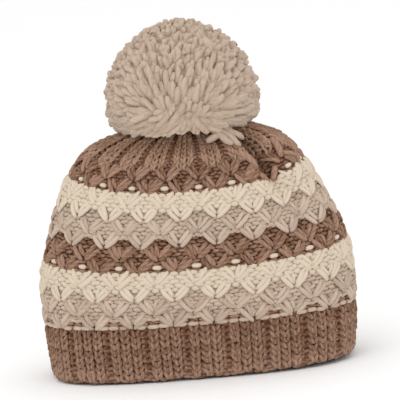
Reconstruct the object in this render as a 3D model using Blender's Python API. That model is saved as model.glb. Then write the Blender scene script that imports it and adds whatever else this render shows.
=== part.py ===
# Bobble hat in chunky knit: a ribbed brim, five colour bands, a gathered crown and a pompom.
# The hat stands on its rim. The front is -Y, up is +Z, the origin is the middle of the rim.
# Metres throughout.

import math

import bmesh
import bpy
import numpy as np
from mathutils import Vector

# Driving sizes of the knitted body
HAT_WIDTH = 0.2324          # widest, just above the brim
HAT_DEPTH = 0.1250          # front to back at the same height
CROWN_HEIGHT = 0.1826       # rim to the top of the gathered crown
WALL = 0.0050               # one layer of chunky knit
GAP = 0.0004                # kept between neighbouring pieces

# The knit repeat: three knit ribs and one purl, one V tip on each
REPEATS = 20
RIB_HEIGHT = 0.0010         # a knit rib over the mean surface of the brim
PURL_DEPTH = 0.0014         # a purl groove under it
TIP_HEIGHT = 0.0012         # the V strands over the mean surface of a band
HOLLOW_DEPTH = 0.0012       # the pocket inside each V
CROWN_RIB_HEIGHT = 0.0010
CROWN_VALLEY_DEPTH = 0.0022
ZIGZAG = 0.0050             # how far the V tips hang over the band below
RIM_TUCK = 0.0010           # the cast-on edge turns in by this much
RIM_ROLL = 0.0009           # and swells by this much just above it
RIM_ROLL_AT = 0.0040

# Pompom
POMPOM_WIDTH = 0.1130
POMPOM_ABOVE = 0.509 * POMPOM_WIDTH     # from its widest level to its top
POMPOM_BELOW = 0.180 * POMPOM_WIDTH     # from its widest level to its flattened underside
POMPOM_SEAT = 0.0021        # its underside over the crown's height, clear of the crown's ribs
POMPOM_LEVEL = CROWN_HEIGHT + POMPOM_SEAT + POMPOM_BELOW
DROOP_FRONT = 0.0056        # the underside hangs over the crown's front and back slopes
DROOP_SIDE = 0.0044
LOCK_ROOT_SHARE = 0.83      # of the pompom's radius, where neighbouring locks meet
LOCK_SHOULDER_SHARE = 0.945
LOCK_SHOULDER_WIDTH = 0.74  # of a lock's width at its root
LOCK_LEAN_SHARE = 0.035
LOCK_LENGTH_SPREAD = 0.028
LOCK_TURN = 2.4             # radians from one lock's lean to the next
LOCK_BEAT = 1.7             # radians from one lock's length to the next
UNDERSIDE_POWER = 2.4       # higher is flatter below
FLANK_POWER = 2.6           # higher is squarer below its widest level; 2 is a ball
SOCKET_RADIUS = 0.0040
SOCKET_DEPTH = 0.0120

# Pompom tie: a cord through the crown's middle with a knot inside the hat
TIE_RADIUS = 0.0022
TIE_SIDES = 10
TIE_REACH = 0.0080          # how far it runs up into the pompom's socket
KNOT_RADIUS = 0.0068
KNOT_HEIGHT = 0.0060
KNOT_NECK_SHARE = 0.86
KNOT_FOOT_SHARE = 0.55

# Sections of the hat from rim to crown middle, as shares of half the width, of half the depth
# and of the crown height. The stripes sag: they run lower at the front than at the sides.
SECTION_COLUMNS = ("edge", "side_width", "side_height", "front_depth", "front_height", "squareness")
SECTIONS = (
    ("rim",            0.942, 0.000, 0.926, 0.000, 2.34),
    ("",               0.972, 0.064, 0.954, 0.063, 2.36),
    ("",               0.993, 0.142, 0.982, 0.140, 2.38),
    ("brim_top",       1.000, 0.236, 0.996, 0.231, 2.38),
    ("beige_low_top",  1.000, 0.361, 1.000, 0.337, 2.38),
    ("cream_low_top",  0.974, 0.487, 0.986, 0.446, 2.36),
    ("brown_top",      0.934, 0.595, 0.958, 0.548, 2.34),
    ("beige_high_top", 0.876, 0.706, 0.912, 0.651, 2.32),
    ("cream_high_top", 0.782, 0.826, 0.850, 0.753, 2.28),
    ("crown_v_top",    0.708, 0.890, 0.794, 0.830, 2.22),
    ("",               0.622, 0.931, 0.712, 0.886, 2.16),
    ("",               0.505, 0.958, 0.594, 0.932, 2.10),
    ("",               0.352, 0.982, 0.442, 0.968, 2.05),
    ("",               0.186, 1.004, 0.262, 0.999, 2.00),
    ("crown_hole",     0.043, 1.000, 0.080, 1.000, 2.00),
)

# Soft folds in the cloth. around is the share of the way round from the front towards +X,
# at the fold's upper and lower end; run is the share of the way from rim to crown middle.
FOLD_COLUMNS = ("upper_around", "lower_around", "upper_run", "lower_run", "width", "depth")
FOLDS = (
    (0.112, 0.146, 0.98, 0.60, 0.008, 0.0085),
    (0.140, 0.164, 0.78, 0.40, 0.011, 0.0045),
    (0.186, 0.198, 0.90, 0.50, 0.015, -0.0030),
    (0.850, 0.868, 0.86, 0.60, 0.016, 0.0016),
    (0.236, 0.242, 0.97, 0.42, 0.048, 0.0052),
    (0.756, 0.752, 0.86, 0.34, 0.050, 0.0020),
    (0.560, 0.552, 0.84, 0.52, 0.018, 0.0022),
)

# Relief of one colour band over one repeat, from its lower edge up: +1 on a V strand,
# -1 in the pocket inside a V, 0 between. Columns are the four places across a repeat.
BAND_PLACES = (0.00, 0.25, 0.50, 0.75)
BAND_RISE = (
    (0.00, 0.00, 0.00, 0.00),
    (0.25, 0.25, 0.38, 0.25),
    (0.50, 0.50, 0.50, 0.50),
    (0.75, 0.75, 0.83, 0.75),
    (1.00, 1.00, 1.00, 1.00),
)
BAND_RELIEF = (
    (1, 0, 0, 0),
    (0, 1, 0, 1),
    (-1, 0, 1, 0),
    (0, 1, -1, 1),
    (1, 0, 0, 0),
)

# Places across a repeat of the brim: knit rib under the V tip, purl groove, two more ribs
BRIM_PLACES = (0.00, 0.20, 0.38, 0.52, 0.67, 0.84)
BRIM_RELIEF = (1.0, -1.0, 1.0, 0.2, 1.0, 0.2)
BRIM_ROW_SHARES = (0.45, 0.75)
CROWN_RELIEF = (1.0, 0.8, -1.0, 0.8)

# Rows of the gathered crown, as shares of the way from its lower edge to the hole; the ribs
# fade towards the hole in the coarse rows, which have two places a repeat
CROWN_FINE_ROWS = (0.30, 0.46, 0.60)
CROWN_COARSE_ROWS = ((0.74, 0.8), (0.88, 0.5))
CROWN_INNER_ROWS = (0.86, 0.66, 0.40)

# Colours as seen on the yarn: base colour, roughness
YARN_BROWN = ((0.235, 0.140, 0.092), 0.92)
YARN_BEIGE = ((0.480, 0.375, 0.300), 0.92)
YARN_CREAM = ((0.680, 0.590, 0.480), 0.92)
YARN_OATMEAL = ((0.500, 0.395, 0.310), 0.94)

ARC_STEPS = 360             # angles tried when a section is divided into equal lengths
ARC_LEVELS = 96             # levels at which that is done
COARSE = 2                  # places per repeat on the inner side of the wall
STEP = 1e-4                 # used to find the direction of the surface

for old in list(bpy.data.objects):
    bpy.data.objects.remove(old, do_unlink=True)


def yarn(name, look):
    material = bpy.data.materials.new(name)
    material.use_nodes = True
    shader = material.node_tree.nodes["Principled BSDF"]
    colour, roughness = look
    shader.inputs["Base Color"].default_value = (*colour, 1.0)
    shader.inputs["Roughness"].default_value = roughness
    shader.inputs["Metallic"].default_value = 0.0
    material.diffuse_color = (*colour, 1.0)
    return material


def column(name):
    return np.array([row[SECTION_COLUMNS.index(name)] for row in SECTIONS], dtype=float)


# The run of the cloth is measured in metres up the front, from the rim to the crown's hole
SIDE_WIDTH = column("side_width") * HAT_WIDTH / 2
SIDE_HEIGHT = column("side_height") * CROWN_HEIGHT
FRONT_DEPTH = column("front_depth") * HAT_DEPTH / 2
FRONT_HEIGHT = column("front_height") * CROWN_HEIGHT
SQUARENESS = column("squareness")
RUN = np.concatenate([[0.0], np.cumsum(np.hypot(np.diff(FRONT_DEPTH), np.diff(FRONT_HEIGHT)))])
EDGE_RUN = {row[0]: RUN[i] for i, row in enumerate(SECTIONS) if row[0]}


def slopes(values):
    # Slope at each section: the parabola through it and its two neighbours
    step = np.diff(RUN)
    rise = np.diff(values) / step
    inner = (rise[:-1] * step[1:] + rise[1:] * step[:-1]) / (step[:-1] + step[1:])
    return np.concatenate([[rise[0]], inner, [rise[-1]]])


def along(values, run):
    # Smooth curve through the sections: a cubic between each two, with the slopes above
    slope = slopes(values)
    i = np.clip(np.searchsorted(RUN, run, side="right") - 1, 0, len(RUN) - 2)
    length = RUN[i + 1] - RUN[i]
    t = np.clip((run - RUN[i]) / length, 0.0, 1.0)
    return ((2 * t**3 - 3 * t**2 + 1) * values[i] + (t**3 - 2 * t**2 + t) * length * slope[i]
            + (3 * t**2 - 2 * t**3) * values[i + 1] + (t**3 - t**2) * length * slope[i + 1])


def oval(angle, half_width, half_depth, squareness):
    # A rounded rectangle between an ellipse and a box; angle 0 is the front, a quarter turn is +X
    across = np.sign(np.sin(angle)) * np.abs(np.sin(angle)) ** (2 / squareness)
    forward = np.sign(np.cos(angle)) * np.abs(np.cos(angle)) ** (2 / squareness)
    return half_width * across, -half_depth * forward


def equal_lengths():
    # For each level, the angle that lies a given share of the section's length from the front
    levels = np.linspace(0.0, RUN[-1], ARC_LEVELS)
    angles = np.linspace(0.0, 2 * math.pi, ARC_STEPS + 1)
    shares = np.linspace(0.0, 1.0, ARC_STEPS + 1)
    table = np.empty((ARC_LEVELS, ARC_STEPS + 1))
    for k, run in enumerate(levels):
        x, y = oval(angles, along(SIDE_WIDTH, run), along(FRONT_DEPTH, run), along(SQUARENESS, run))
        length = np.concatenate([[0.0], np.cumsum(np.hypot(np.diff(x), np.diff(y)))])
        table[k] = np.interp(shares, length / length[-1], angles)
    return table


ANGLES = equal_lengths()


def surface(around, run):
    # Middle of the cloth's outer side, before its stitches; around is a share, run is in metres
    turn = np.floor(around)
    place = (around - turn) * ARC_STEPS
    level = np.clip(run / RUN[-1], 0.0, 1.0) * (ARC_LEVELS - 1)
    i = np.minimum(level.astype(int), ARC_LEVELS - 2)
    j = np.minimum(place.astype(int), ARC_STEPS - 1)
    u = level - i
    w = place - j
    angle = ((1 - u) * ((1 - w) * ANGLES[i, j] + w * ANGLES[i, j + 1])
             + u * ((1 - w) * ANGLES[i + 1, j] + w * ANGLES[i + 1, j + 1]))
    depth = along(FRONT_DEPTH, run)
    x, y = oval(angle, along(SIDE_WIDTH, run), depth, along(SQUARENESS, run))
    side = along(SIDE_HEIGHT, run)
    z = side + (along(FRONT_HEIGHT, run) - side) * (y / depth) ** 2
    return np.stack([x, y, z], axis=-1)


def outward(around, run):
    # Direction square to the cloth, from its slopes round and up
    low = np.clip(run - STEP, 0.0, RUN[-1])
    high = np.clip(run + STEP, 0.0, RUN[-1])
    across = surface(around + STEP, run) - surface(around - STEP, run)
    up = surface(around, high) - surface(around, low)
    normal = np.cross(across, up)
    return normal / np.linalg.norm(normal, axis=-1, keepdims=True)


def folds(around, run):
    # Depth of the soft folds: each a line down the cloth with a bell-shaped section
    total = np.zeros_like(run)
    share = run / RUN[-1]
    for row in FOLDS:
        fold = dict(zip(FOLD_COLUMNS, row))
        t = (fold["upper_run"] - share) / (fold["upper_run"] - fold["lower_run"])
        middle = fold["upper_around"] + (fold["lower_around"] - fold["upper_around"]) * t
        girth = 4 * (along(SIDE_WIDTH, run) + along(FRONT_DEPTH, run)) / math.sqrt(2)
        away = (around - middle + 0.5) % 1.0 - 0.5
        bell = np.exp(-(away * girth / fold["width"]) ** 2)
        fade = np.clip(1.15 - np.abs(2 * t - 1), 0.0, 1.0)
        total -= fold["depth"] * bell * fade * fade * (3 - 2 * fade)
    return total


def ring(places, run, relief, thickness=0.0):
    # One closed line of points round the cloth: the same places on every repeat
    repeat = np.repeat(np.arange(REPEATS), len(places))
    around = (repeat + np.tile(places, REPEATS)) / REPEATS
    level = np.tile(np.broadcast_to(run, len(places)), REPEATS)
    height = np.tile(np.broadcast_to(relief, len(places)), REPEATS)
    offset = height + folds(around, level) - thickness
    return surface(around, level) + outward(around, level) * offset[:, None]


def zigzag(places, amount):
    # Rises from a V tip at place 0 to the notch half a repeat on, and falls again
    return amount * (1 - np.abs(2 * np.array(places) - 1))


class Wall:
    # A closed wall: rings joined one after the other, and the last to the first

    def __init__(self):
        self.points = []
        self.rings = []
        self.faces = []

    def add(self, points):
        start = len(self.points)
        self.points.extend(map(tuple, points))
        self.rings.append(list(range(start, start + len(points))))

    def join(self, lower, upper, lean_right):
        a = self.rings[lower]
        b = self.rings[upper]
        count = min(len(a), len(b))
        ratio = max(len(a), len(b)) // count
        half = (ratio + 1) // 2
        for i in range(count):
            n = (i + 1) % count
            if ratio == 1:
                if lean_right(i):
                    self.faces += [(a[i], a[n], b[n]), (a[i], b[n], b[i])]
                else:
                    self.faces += [(a[i], a[n], b[i]), (a[n], b[n], b[i])]
            elif len(a) > len(b):
                for m in range(ratio):
                    fine = a[ratio * i + m], a[(ratio * i + m + 1) % len(a)]
                    self.faces.append((*fine, b[i] if m < half else b[n]))
                self.faces.append((a[(ratio * i + half) % len(a)], b[n], b[i]))
            else:
                for m in range(ratio):
                    fine = b[(ratio * i + m + 1) % len(b)], b[ratio * i + m]
                    self.faces.append((a[i] if m < half else a[n], *fine))
                self.faces.append((a[i], a[n], b[(ratio * i + half) % len(b)]))

    def build(self, name, material, lean_right):
        for k in range(len(self.rings)):
            self.join(k, (k + 1) % len(self.rings), lean_right(k))
        return solid(name, self.points, self.faces, material)


def solid(name, points, faces, material):
    mesh = bpy.data.meshes.new(name)
    mesh.from_pydata(points, [], faces)
    mesh.materials.append(material)
    mesh.validate()
    thing = bpy.data.objects.new(name, mesh)
    bpy.context.collection.objects.link(thing)
    thing.parent = hat
    return thing


def follow_strands(row):
    # In a band's lower half the V strands climb away from its tip, above they close in again
    def lean(i):
        rising = i % len(BAND_PLACES) < len(BAND_PLACES) // 2
        return rising if row in (0, 1) else not rising
    return lean


def always(_):
    return True


def edge_line(edge, places):
    amount = 0.0 if edge in ("rim", "brim_top") else ZIGZAG
    return EDGE_RUN[edge] + zigzag(places, amount)


def stitch_height(values):
    values = np.array(values, dtype=float)
    return np.where(values > 0, values * TIP_HEIGHT, values * HOLLOW_DEPTH)


def band_rings(wall, lower, upper):
    # The V stitches of one colour: five rings that follow the tips, the strands and the pockets
    low_line = edge_line(lower, BAND_PLACES)
    high_line = edge_line(upper, BAND_PLACES)
    low = EDGE_RUN[lower]
    high = EDGE_RUN[upper]
    for k, (rise, relief) in enumerate(zip(BAND_RISE, BAND_RELIEF)):
        if k == 0:
            run = low_line + GAP / 2
        elif k == len(BAND_RISE) - 1:
            run = high_line - GAP / 2
        else:
            run = np.maximum(low + (high - low) * np.array(rise), low_line + GAP)
        wall.add(ring(BAND_PLACES, run, stitch_height(relief)))


def inner_ring(run, places=(0.0, 0.5)):
    return ring(places, run, 0.0, WALL)


def colour_band(name, lower, upper, material):
    wall = Wall()
    band_rings(wall, lower, upper)
    coarse = (0.0, 0.5)
    wall.add(inner_ring(edge_line(upper, coarse) - GAP / 2))
    wall.add(inner_ring((edge_line(upper, coarse) + edge_line(lower, coarse)) / 2))
    wall.add(inner_ring(edge_line(lower, coarse) + GAP / 2))
    return wall.build(name, material, follow_strands)


def ribbed_brim(material):
    wall = Wall()
    ribs = np.array(BRIM_RELIEF)
    relief = np.where(ribs > 0, ribs * RIB_HEIGHT, ribs * PURL_DEPTH)
    top = EDGE_RUN["brim_top"] - GAP / 2
    inner_places = (BRIM_PLACES[0], BRIM_PLACES[len(BRIM_PLACES) // COARSE])
    rim = ring(BRIM_PLACES, 0.0, relief / 2 - RIM_TUCK)
    rim[:, 2] = 0.0
    wall.add(rim)
    wall.add(ring(BRIM_PLACES, RIM_ROLL_AT, relief + RIM_ROLL))
    for share in BRIM_ROW_SHARES:
        wall.add(ring(BRIM_PLACES, top * share, relief))
    wall.add(ring(BRIM_PLACES, top, relief))
    wall.add(inner_ring(top, inner_places))
    wall.add(inner_ring(top / 2, inner_places))
    inner_rim = inner_ring(0.0, inner_places)
    inner_rim[:, 2] = 0.0
    wall.add(inner_rim)
    return wall.build("ribbed_brim", material, lambda row: always)


def gathered_crown(material):
    wall = Wall()
    ribs = np.array(CROWN_RELIEF)
    relief = np.where(ribs > 0, ribs * CROWN_RIB_HEIGHT, ribs * CROWN_VALLEY_DEPTH)
    start = EDGE_RUN["crown_v_top"]
    finish = EDGE_RUN["crown_hole"]
    notch = edge_line("crown_v_top", BAND_PLACES) + GAP / 2
    wall.add(ring(BAND_PLACES, notch, stitch_height(BAND_RELIEF[0])))
    for share in CROWN_FINE_ROWS:
        wall.add(ring(BAND_PLACES, start + (finish - start) * share, relief))
    coarse = (0.0, 0.5)
    coarse_relief = relief[[0, 2]]
    for share, strength in CROWN_COARSE_ROWS:
        wall.add(ring(coarse, start + (finish - start) * share, coarse_relief * strength))
    single = (0.0,)
    wall.add(ring(single, finish, 0.0))
    wall.add(ring(single, finish, 0.0, WALL))
    for share in CROWN_INNER_ROWS:
        wall.add(inner_ring(start + (finish - start) * share))
    wall.add(inner_ring(edge_line("crown_v_top", coarse) + GAP / 2))
    return wall.build("gathered_crown", material, lambda row: always)


def pompom_shape(direction, radius_share):
    # A ball above its widest level; squarer and flattened below it, where it lies on the crown
    x, y, z = direction
    half = POMPOM_WIDTH / 2
    if z >= 0:
        height = POMPOM_ABOVE * z * radius_share
    else:
        depth = min(-z * radius_share, 1.0)
        level_share = math.hypot(x, y)
        if level_share > 0:
            half *= max(1 - (-z) ** FLANK_POWER, 0.0) ** (1 / FLANK_POWER) / level_share
        hang = DROOP_FRONT * (y * radius_share) ** 2 + DROOP_SIDE * (x * radius_share) ** 2
        height = -(POMPOM_BELOW + hang) * (1 - (1 - depth) ** UNDERSIDE_POWER)
    return Vector((half * x * radius_share, half * y * radius_share, POMPOM_LEVEL + height))


def lock(index, root, points, faces):
    # One lock of yarn: a six-sided root, a rounded shoulder and a tip that leans a little
    middle = sum(root, Vector()).normalized()
    aside = middle.orthogonal().normalized()
    lean = (aside * math.cos(index * LOCK_TURN)
            + middle.cross(aside) * math.sin(index * LOCK_TURN)) * LOCK_LEAN_SHARE
    reach = 1 - LOCK_LENGTH_SPREAD * (1 + math.sin(index * LOCK_BEAT)) / 2
    start = len(points)
    for corner in root:
        direction = middle.lerp(corner, LOCK_SHOULDER_WIDTH) + lean / 2
        points.append(pompom_shape(direction.normalized(), LOCK_SHOULDER_SHARE * reach))
    points.append(pompom_shape((middle + lean).normalized(), reach))
    tip = len(points) - 1
    count = len(root)
    shoulder = [start + k for k in range(count)]
    faces.extend((shoulder[k], shoulder[(k + 1) % count], tip) for k in range(count))
    return shoulder


def socket(count, turn, points, faces):
    # The hole in the pompom's underside that takes the tie
    level = POMPOM_LEVEL - POMPOM_BELOW
    rims = []
    for height in (0.0, SOCKET_DEPTH):
        start = len(points)
        for k in range(count):
            angle = turn - 2 * math.pi * k / count
            points.append(Vector((SOCKET_RADIUS * math.cos(angle), SOCKET_RADIUS * math.sin(angle),
                                  level + height)))
        rims.append([start + k for k in range(count)])
    mouth, end = rims
    for k in range(count):
        n = (k + 1) % count
        faces += [(mouth[k], mouth[n], end[n]), (mouth[k], end[n], end[k])]
    faces.extend((end[0], end[k], end[k + 1]) for k in range(1, count - 1))
    return mouth


def pompom(material):
    # Locks stand on the faces that surround each corner of a finely divided ball
    ball = bmesh.new()
    bmesh.ops.create_icosphere(ball, subdivisions=3, radius=1.0)
    ball.faces.ensure_lookup_table()
    ball.faces.index_update()
    centres = [face.calc_center_median().normalized() for face in ball.faces]
    points = [pompom_shape(centre, LOCK_ROOT_SHARE) for centre in centres]
    faces = []
    for index, corner in enumerate(ball.verts):
        middle = corner.co.normalized()
        aside = middle.orthogonal().normalized()
        other = middle.cross(aside)
        around = sorted((face.index for face in corner.link_faces),
                        key=lambda f: math.atan2(centres[f].dot(other), centres[f].dot(aside)))
        root = [centres[f] for f in around]
        if middle.z < -0.999:
            first = root[0]
            upper = socket(len(root), math.atan2(first.y, first.x), points, faces)
        else:
            upper = lock(index, root, points, faces)
        for k, face in enumerate(around):
            n = (k + 1) % len(around)
            faces += [(face, around[n], upper[n]), (face, upper[n], upper[k])]
    ball.free()
    return solid("pompom", points, faces, material)


def pompom_tie(material):
    # Turned about the upright axis: knot foot, belly, neck, then the cord up into the socket
    floor = surface(np.array([0.0]), np.array([RUN[-1]]))[0][2] - WALL - GAP
    top = POMPOM_LEVEL - POMPOM_BELOW + TIE_REACH
    profile = (
        (KNOT_RADIUS * KNOT_FOOT_SHARE, floor - KNOT_HEIGHT),
        (KNOT_RADIUS, floor - KNOT_HEIGHT / 2),
        (KNOT_RADIUS * KNOT_NECK_SHARE, floor),
        (TIE_RADIUS, floor),
        (TIE_RADIUS, top),
    )
    points = []
    for radius, height in profile:
        for k in range(TIE_SIDES):
            angle = 2 * math.pi * k / TIE_SIDES
            points.append((radius * math.cos(angle), radius * math.sin(angle), height))
    faces = []
    for level in range(len(profile) - 1):
        for k in range(TIE_SIDES):
            n = (k + 1) % TIE_SIDES
            a = level * TIE_SIDES
            b = a + TIE_SIDES
            faces += [(a + k, a + n, b + n), (a + k, b + n, b + k)]
    last = (len(profile) - 1) * TIE_SIDES
    faces.extend((0, k + 1, k) for k in range(1, TIE_SIDES - 1))
    faces.extend((last, last + k, last + k + 1) for k in range(1, TIE_SIDES - 1))
    return solid("pompom_tie", points, faces, material)


hat = bpy.data.objects.new("hat", None)
bpy.context.collection.objects.link(hat)

brown = yarn("brown yarn", YARN_BROWN)
beige = yarn("beige yarn", YARN_BEIGE)
cream = yarn("cream yarn", YARN_CREAM)
oatmeal = yarn("oatmeal pompom yarn", YARN_OATMEAL)

ribbed_brim(brown)
colour_band("beige_band_low", "brim_top", "beige_low_top", beige)
colour_band("cream_band_low", "beige_low_top", "cream_low_top", cream)
colour_band("brown_band", "cream_low_top", "brown_top", brown)
colour_band("beige_band_high", "brown_top", "beige_high_top", beige)
colour_band("cream_band_high", "beige_high_top", "cream_high_top", cream)
colour_band("brown_band_high", "cream_high_top", "crown_v_top", brown)
gathered_crown(brown)
pompom(oatmeal)
pompom_tie(brown)
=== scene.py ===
import math

import bpy
import numpy as np
from mathutils import Matrix, Vector


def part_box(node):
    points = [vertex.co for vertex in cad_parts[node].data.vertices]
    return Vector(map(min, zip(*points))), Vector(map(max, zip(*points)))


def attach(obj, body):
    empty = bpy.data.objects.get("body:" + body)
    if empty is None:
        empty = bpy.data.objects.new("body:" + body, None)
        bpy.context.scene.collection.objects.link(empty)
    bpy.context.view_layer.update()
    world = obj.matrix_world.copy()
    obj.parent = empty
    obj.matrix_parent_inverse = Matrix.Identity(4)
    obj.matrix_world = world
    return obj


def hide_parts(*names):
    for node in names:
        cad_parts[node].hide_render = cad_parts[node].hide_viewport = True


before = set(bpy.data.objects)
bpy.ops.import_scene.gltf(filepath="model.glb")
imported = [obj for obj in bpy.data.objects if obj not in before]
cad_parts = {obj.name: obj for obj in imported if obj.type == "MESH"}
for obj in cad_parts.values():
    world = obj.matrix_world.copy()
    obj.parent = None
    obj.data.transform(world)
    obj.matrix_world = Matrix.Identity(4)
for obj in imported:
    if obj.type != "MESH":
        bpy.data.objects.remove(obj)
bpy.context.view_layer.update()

# Bobble hat in chunky yarn. Every stitch is laid on the hat's own surface, whose places are
# given as repeats of the knit round the hat from the front, run up the cloth from the rim, and
# lift off the cloth. Metres throughout; the front is -Y.

hatShape = {
    "halfWidth": 0.1162,
    "halfDepth": 0.0625,
    "crownHeight": 0.1826,
    "repeats": 20,
    "repeatWidth": 0.0286,       # of one knit repeat at the widest part
    "patternShift": 0.31,        # repeats from the front's middle to the first V tip on the brim
    "patternLean": 0.95,         # repeats that the knit leans to the right over the whole run
    "leanFrom": 0.2,             # share of the run below which it stands straight
    "frontWidening": 0.08,       # share by which repeats are wider at the front and back near the crown
    "wideningRun": (0.5, 0.16),  # shares of the run: where that starts, and over how much it grows
    # where the rim lifts: share of the way round, width, height, run it fades at, power of the fade
    "rimRise": (0.22, 0.09, 0.0026, 0.036, 1.5),
    # small waves of the rim: number round the hat, phase, height
    "rimWaves": ((23, 0.0, 0.00035), (37, 1.0, 0.00030)),
    # shares of the three sizes above: side width, side height, front depth, front height,
    # and then the squareness of the section
    "sections": {
        "rim": (0.964, 0.000, 0.926, 0.000, 2.80),
        "brimLow": (0.981, 0.064, 0.954, 0.063, 2.66),
        "brimHigh": (0.993, 0.142, 0.982, 0.140, 2.50),
        "brimTop": (1.000, 0.236, 0.996, 0.231, 2.42),
        "beigeLowTop": (1.000, 0.361, 1.000, 0.337, 2.38),
        "creamLowTop": (0.974, 0.487, 0.986, 0.446, 2.36),
        "brownTop": (0.934, 0.595, 0.958, 0.548, 2.34),
        "beigeHighTop": (0.876, 0.706, 0.912, 0.651, 2.32),
        "creamHighTop": (0.782, 0.826, 0.850, 0.753, 2.28),
        "crownStitchTop": (0.708, 0.890, 0.794, 0.830, 2.22),
        "crownLow": (0.622, 0.931, 0.712, 0.886, 2.16),
        "crownMiddle": (0.505, 0.958, 0.594, 0.932, 2.10),
        "crownHigh": (0.352, 0.982, 0.442, 0.968, 2.05),
        "crownTop": (0.186, 1.004, 0.262, 0.999, 2.00),
        "crownHole": (0.043, 1.000, 0.080, 1.000, 2.00),
    },
    "foldPastEnds": 0.15,        # share of a fold's half length by which it fades out past its ends
    # soft folds: place round the hat at the upper and lower end, share of the run there, width,
    # and depth, or height where it is negative
    "folds": (
        (0.128, 0.135, 0.96, 0.60, 0.0055, 0.0150),
        (0.113, 0.114, 0.90, 0.62, 0.0080, -0.0040),
        (0.134, 0.162, 0.70, 0.42, 0.010, 0.0058),
        (0.166, 0.176, 0.92, 0.56, 0.013, -0.0044),
        (0.850, 0.868, 0.86, 0.60, 0.016, 0.0016),
        (0.236, 0.242, 0.86, 0.42, 0.048, 0.0046),
        (0.756, 0.752, 0.86, 0.34, 0.050, 0.0020),
        (0.560, 0.552, 0.84, 0.52, 0.018, 0.0022),
    ),
}

columns = np.array(list(hatShape["sections"].values()))
sideWidth = columns[:, 0] * hatShape["halfWidth"]
sideHeight = columns[:, 1] * hatShape["crownHeight"]
frontDepth = columns[:, 2] * hatShape["halfDepth"]
frontHeight = columns[:, 3] * hatShape["crownHeight"]
squareness = columns[:, 4]


def lengthAlong(across, up):
    # The length of a line of points from its first point to each of them
    return np.concatenate([[0.0], np.cumsum(np.hypot(np.diff(across), np.diff(up)))])


sectionRun = lengthAlong(frontDepth, frontHeight)
runAt = dict(zip(hatShape["sections"], sectionRun))
wholeRun = sectionRun[-1]


def alongSections(values, run):
    # A cubic between each two sections; each section's slope is that of the parabola
    # through it and its two neighbours.
    step = np.diff(sectionRun)
    rise = np.diff(values) / step
    inner = (rise[:-1] * step[1:] + rise[1:] * step[:-1]) / (step[:-1] + step[1:])
    slope = np.concatenate([[rise[0]], inner, [rise[-1]]])
    i = np.clip(np.searchsorted(sectionRun, run, side="right") - 1, 0, len(sectionRun) - 2)
    length = sectionRun[i + 1] - sectionRun[i]
    t = np.clip((run - sectionRun[i]) / length, 0.0, 1.0)
    return ((2 * t**3 - 3 * t**2 + 1) * values[i] + (t**3 - 2 * t**2 + t) * length * slope[i]
            + (3 * t**2 - 2 * t**3) * values[i + 1] + (t**3 - t**2) * length * slope[i + 1])


def ovalPoint(angle, halfWidth, halfDepth, square):
    # Rounded oval: sine and cosine raised to 2 / squareness, with their signs kept
    across = np.sign(np.sin(angle)) * np.abs(np.sin(angle)) ** (2 / square)
    forward = np.sign(np.cos(angle)) * np.abs(np.cos(angle)) ** (2 / square)
    return halfWidth * across, -halfDepth * forward


def equalLengthTable(levelCount=96, stepCount=360):
    # For each level, the angle at which a given share of the section's length is reached
    table = np.empty((levelCount, stepCount + 1))
    angles = np.linspace(0.0, 2 * math.pi, stepCount + 1)
    shares = np.linspace(0.0, 1.0, stepCount + 1)
    for level, run in enumerate(np.linspace(0.0, wholeRun, levelCount)):
        x, y = ovalPoint(angles, alongSections(sideWidth, run), alongSections(frontDepth, run),
                         alongSections(squareness, run))
        length = lengthAlong(x, y)
        table[level] = np.interp(shares, length / length[-1], angles)
    return table


angleTable = equalLengthTable()


def awayFrom(around, place):
    # The shorter way round the hat to a place, as a share of the way round
    return (around - place + 0.5) % 1.0 - 0.5


def girthShare(run):
    # The hat's girth at a run, as a share of its girth at the widest part
    return ((alongSections(sideWidth, run) + alongSections(frontDepth, run))
            / (hatShape["halfWidth"] + hatShape["halfDepth"]))


def foldLift(around, run):
    # Each fold is a bell across a line that runs down the cloth, faded at both ends
    lift = np.zeros_like(run)
    for upperPlace, lowerPlace, upperRun, lowerRun, width, depth in hatShape["folds"]:
        t = (upperRun - run / wholeRun) / (upperRun - lowerRun)
        middle = upperPlace + (lowerPlace - upperPlace) * t
        girth = 4 * (alongSections(sideWidth, run) + alongSections(frontDepth, run)) / math.sqrt(2)
        away = awayFrom(around, middle)
        fade = np.clip(1 + hatShape["foldPastEnds"] - np.abs(2 * t - 1), 0.0, 1.0)
        lift -= depth * np.exp(-(away * girth / width) ** 2) * fade * fade * (3 - 2 * fade)
    return lift


def clothPoint(around, run):
    # Oval at each run; the height goes from the side's to the front's with the square of y.
    # The rim's rise is a bell round the hat, with small sine waves, and fades up the cloth.
    place = (around - np.floor(around)) * (angleTable.shape[1] - 1)
    level = np.clip(run / wholeRun, 0.0, 1.0) * (angleTable.shape[0] - 1)
    i = np.minimum(level.astype(int), angleTable.shape[0] - 2)
    j = np.minimum(place.astype(int), angleTable.shape[1] - 2)
    u = level - i
    w = place - j
    angle = ((1 - u) * ((1 - w) * angleTable[i, j] + w * angleTable[i, j + 1])
             + u * ((1 - w) * angleTable[i + 1, j] + w * angleTable[i + 1, j + 1]))
    depth = alongSections(frontDepth, run)
    x, y = ovalPoint(angle, alongSections(sideWidth, run), depth, alongSections(squareness, run))
    side = alongSections(sideHeight, run)
    z = side + (alongSections(frontHeight, run) - side) * (y / depth) ** 2
    risePlace, riseWidth, riseHeight, riseRun, risePower = hatShape["rimRise"]
    rise = riseHeight * np.exp(-(awayFrom(around, risePlace) / riseWidth) ** 2)
    for number, phase, height in hatShape["rimWaves"]:
        rise = rise + height * (1 + np.sin(2 * math.pi * number * around + phase))
    z = z + rise * np.clip(1 - run / riseRun, 0.0, 1.0) ** risePower
    return np.stack([x, y, z], axis=-1)


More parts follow.
